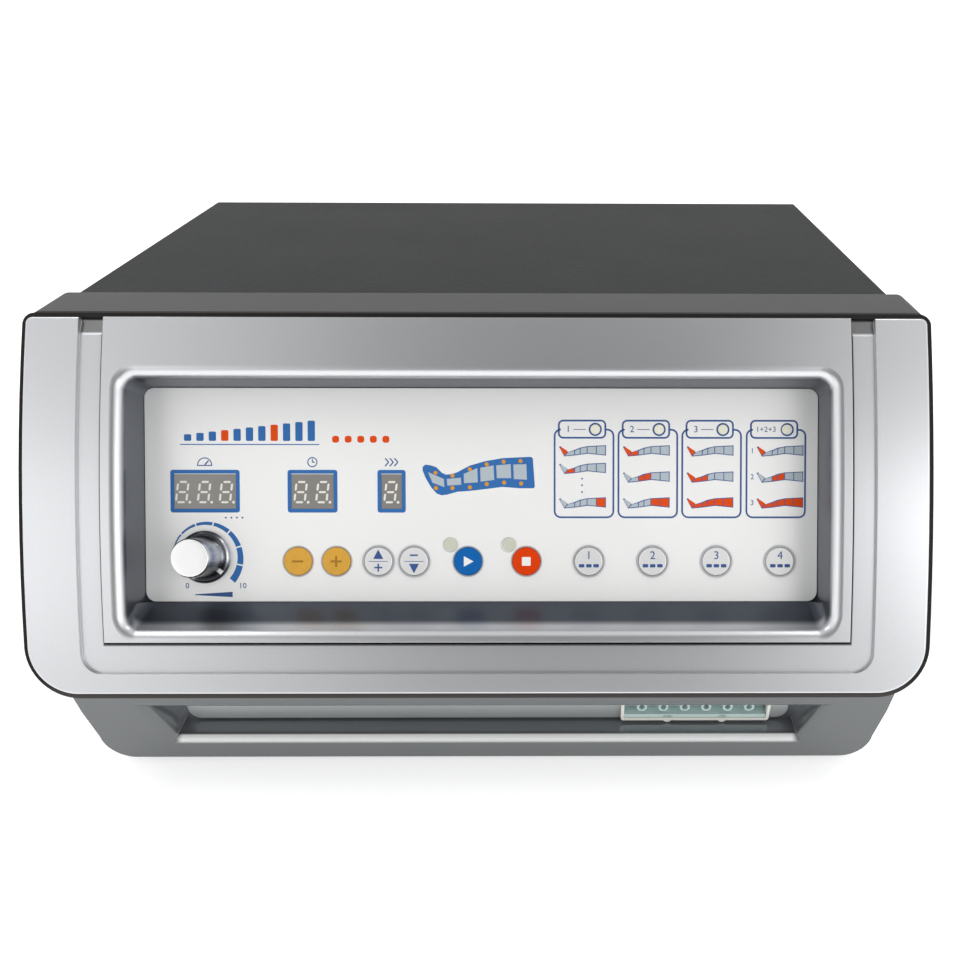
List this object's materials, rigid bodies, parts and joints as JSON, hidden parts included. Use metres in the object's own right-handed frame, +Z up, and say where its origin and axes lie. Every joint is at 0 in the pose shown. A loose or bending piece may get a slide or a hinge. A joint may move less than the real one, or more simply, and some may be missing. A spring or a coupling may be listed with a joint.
{
  "type": "compression therapy pump",
  "caption": "Table-top air compression therapy pump: sloping silver console with displays, keys and pressure knob, hose trough below, steel case behind.",
  "frame": {"origin": "centre of the footprint on the surface that the rubber feet stand on", "axes": "+Z up, the control console faces -Y, +X to the right as the user sees it"},
  "size_m": [0.395, 0.3136, 0.204],
  "materials": {
    "silver_paint": "metallic silver paint on ABS, fine flake",
    "silver_paint_dark": "metallic silver paint on ABS",
    "hood_grey": "grey satin moulding",
    "dark_trim": "dark soft trim strip",
    "textured_steel": "charcoal powder coat with fine orange peel",
    "panel_film": "off-white printed film on aluminium",
    "display_lens": "smoked acrylic",
    "digit_body": "black LED digit block",
    "milky_lens": "milky diffuser",
    "lamp_lens": "water-clear LED",
    "amber_key": "printed domed key",
    "blue_key": "printed domed key",
    "red_key": "printed domed key",
    "grey_ring": "grey collar",
    "black_plastic": "moulded black plastic",
    "knob_silver": "bright silver knob",
    "steel": "turned steel",
    "zinc": "plain zinc case",
    "circuit_board": "green solder resist",
    "brass_posts": "plain turned brass",
    "panel_plate": "satin plate",
    "white_plastic": "white moulded frame",
    "teal_block": "teal-grey moulded manifold",
    "zinc_screws": "zinc plated",
    "foot_rubber": "matt black rubber",
    "chrome_wire": "bright wire",
    "rocker_black": "polished black",
    "cast_alloy": "as-cast alloy",
    "copper_winding": "enamelled copper",
    "silicone_tube": "clear silicone hose",
    "silver_key": "printed silver key"
  },
  "bodies": {
    "housing": {"air_tubes": "silicone_tube", "base_tray": "textured_steel", "board_posts": "brass_posts", "case_screws": "zinc_screws", "control_panel": "panel_film", "digit_modules": "digit_body", "display_board": "circuit_board", "display_windows": "display_lens", "edge_trim": "dark_trim", "fan_frame": "black_plastic", "fan_guard": "chrome_wire", "front_frame": "silver_paint", "fuse_holder": "black_plastic", "hood": "hood_grey", "indicator_lenses": "milky_lens", "inlet_contacts": "brass_posts", "inner_bezel": "silver_paint", "key_rings": "grey_ring", "key_switches": "black_plastic", "lower_chin": "silver_paint_dark", "main_board": "circuit_board", "mains_inlet": "black_plastic", "mode_lamps": "lamp_lens", "outlet_block": "teal_block", "outlet_frame": "white_plastic", "pressure_potentiometer": "zinc", "pump_coils": "copper_winding", "pump_heads": "cast_alloy", "pump_housing": "cast_alloy", "pump_mounts": "foot_rubber", "rear_panel": "textured_steel", "rubber_feet": "foot_rubber", "solenoid_coils": "black_plastic", "switch_case": "black_plastic", "top_cover": "textured_steel", "transformer_core": "steel", "transformer_winding": "copper_winding", "trough_plate": "panel_plate", "valve_manifold": "cast_alloy"},
    "pressure_knob": {"pressure_knob": "knob_silver", "knob_shaft": "steel"},
    "power_rocker": {"power_rocker": "rocker_black"},
    "fan_rotor": {"fan_rotor": "black_plastic"},
    "pump_armature": {"pump_armature": "steel"},
    "amber_key_left": {"amber_key_left": "amber_key"},
    "amber_key_right": {"amber_key_right": "amber_key"},
    "up_key": {"up_key": "silver_key"},
    "down_key": {"down_key": "silver_key"},
    "start_key": {"start_key": "blue_key"},
    "stop_key": {"stop_key": "red_key"},
    "mode_key_1": {"mode_key_1": "silver_key"},
    "mode_key_2": {"mode_key_2": "silver_key"},
    "mode_key_3": {"mode_key_3": "silver_key"},
    "mode_key_4": {"mode_key_4": "silver_key"},
    "valve_plunger_1": {"valve_plunger_1": "steel"},
    "valve_plunger_2": {"valve_plunger_2": "steel"},
    "valve_plunger_3": {"valve_plunger_3": "steel"},
    "valve_plunger_4": {"valve_plunger_4": "steel"},
    "valve_plunger_5": {"valve_plunger_5": "steel"},
    "valve_plunger_6": {"valve_plunger_6": "steel"}
  },
  "joints": [
    {"name": "pressure_knob_turn", "type": "hinge", "parent": "housing", "child": "pressure_knob", "pos_m": [-0.12601, -0.1102, 0.10632], "axis": [0, -0.8387, 0.5446], "range_deg": [0, 270]},
    {"name": "amber_key_left_press", "type": "slide", "parent": "housing", "child": "amber_key_left", "axis": [0, 0.8387, -0.5446], "range_m": [0, 0.0008], "stiffness_N_per_m": 600, "springref_m": -0.001},
    {"name": "amber_key_right_press", "type": "slide", "parent": "housing", "child": "amber_key_right", "axis": [0, 0.8387, -0.5446], "range_m": [0, 0.0008], "stiffness_N_per_m": 600, "springref_m": -0.001},
    {"name": "up_key_press", "type": "slide", "parent": "housing", "child": "up_key", "axis": [0, 0.8387, -0.5446], "range_m": [0, 0.0008], "stiffness_N_per_m": 600, "springref_m": -0.001},
    {"name": "down_key_press", "type": "slide", "parent": "housing", "child": "down_key", "axis": [0, 0.8387, -0.5446], "range_m": [0, 0.0008], "stiffness_N_per_m": 600, "springref_m": -0.001},
    {"name": "start_key_press", "type": "slide", "parent": "housing", "child": "start_key", "axis": [0, 0.8387, -0.5446], "range_m": [0, 0.0008], "stiffness_N_per_m": 600, "springref_m": -0.001},
    {"name": "stop_key_press", "type": "slide", "parent": "housing", "child": "stop_key", "axis": [0, 0.8387, -0.5446], "range_m": [0, 0.0008], "stiffness_N_per_m": 600, "springref_m": -0.001},
    {"name": "mode_key_1_press", "type": "slide", "parent": "housing", "child": "mode_key_1", "axis": [0, 0.8387, -0.5446], "range_m": [0, 0.0008], "stiffness_N_per_m": 600, "springref_m": -0.001},
    {"name": "mode_key_2_press", "type": "slide", "parent": "housing", "child": "mode_key_2", "axis": [0, 0.8387, -0.5446], "range_m": [0, 0.0008], "stiffness_N_per_m": 600, "springref_m": -0.001},
    {"name": "mode_key_3_press", "type": "slide", "parent": "housing", "child": "mode_key_3", "axis": [0, 0.8387, -0.5446], "range_m": [0, 0.0008], "stiffness_N_per_m": 600, "springref_m": -0.001},
    {"name": "mode_key_4_press", "type": "slide", "parent": "housing", "child": "mode_key_4", "axis": [0, 0.8387, -0.5446], "range_m": [0, 0.0008], "stiffness_N_per_m": 600, "springref_m": -0.001},
    {"name": "power_rocker_tilt", "type": "hinge", "parent": "housing", "child": "power_rocker", "pos_m": [-0.096, 0.15175, 0.044], "axis": [1, 0, 0], "range_deg": [-18, 0]},
    {"name": "fan_spin", "type": "hinge", "parent": "housing", "child": "fan_rotor", "pos_m": [0.12, 0.13925, 0.11], "axis": [0, 1, 0], "continuous": true},
    {"name": "pump_stroke", "type": "slide", "parent": "housing", "child": "pump_armature", "axis": [1, 0, 0], "range_m": [-0.002, 0.002], "stiffness_N_per_m": 4000},
    {"name": "valve_plunger_1_lift", "type": "slide", "parent": "housing", "child": "valve_plunger_1", "axis": [0, 0, 1], "range_m": [0, 0.002], "stiffness_N_per_m": 300, "springref_m": -0.002},
    {"name": "valve_plunger_2_lift", "type": "slide", "parent": "housing", "child": "valve_plunger_2", "axis": [0, 0, 1], "range_m": [0, 0.002], "stiffness_N_per_m": 300, "springref_m": -0.002},
    {"name": "valve_plunger_3_lift", "type": "slide", "parent": "housing", "child": "valve_plunger_3", "axis": [0, 0, 1], "range_m": [0, 0.002], "stiffness_N_per_m": 300, "springref_m": -0.002},
    {"name": "valve_plunger_4_lift", "type": "slide", "parent": "housing", "child": "valve_plunger_4", "axis": [0, 0, 1], "range_m": [0, 0.002], "stiffness_N_per_m": 300, "springref_m": -0.002},
    {"name": "valve_plunger_5_lift", "type": "slide", "parent": "housing", "child": "valve_plunger_5", "axis": [0, 0, 1], "range_m": [0, 0.002], "stiffness_N_per_m": 300, "springref_m": -0.002},
    {"name": "valve_plunger_6_lift", "type": "slide", "parent": "housing", "child": "valve_plunger_6", "axis": [0, 0, 1], "range_m": [0, 0.002], "stiffness_N_per_m": 300, "springref_m": -0.002}
  ]
}
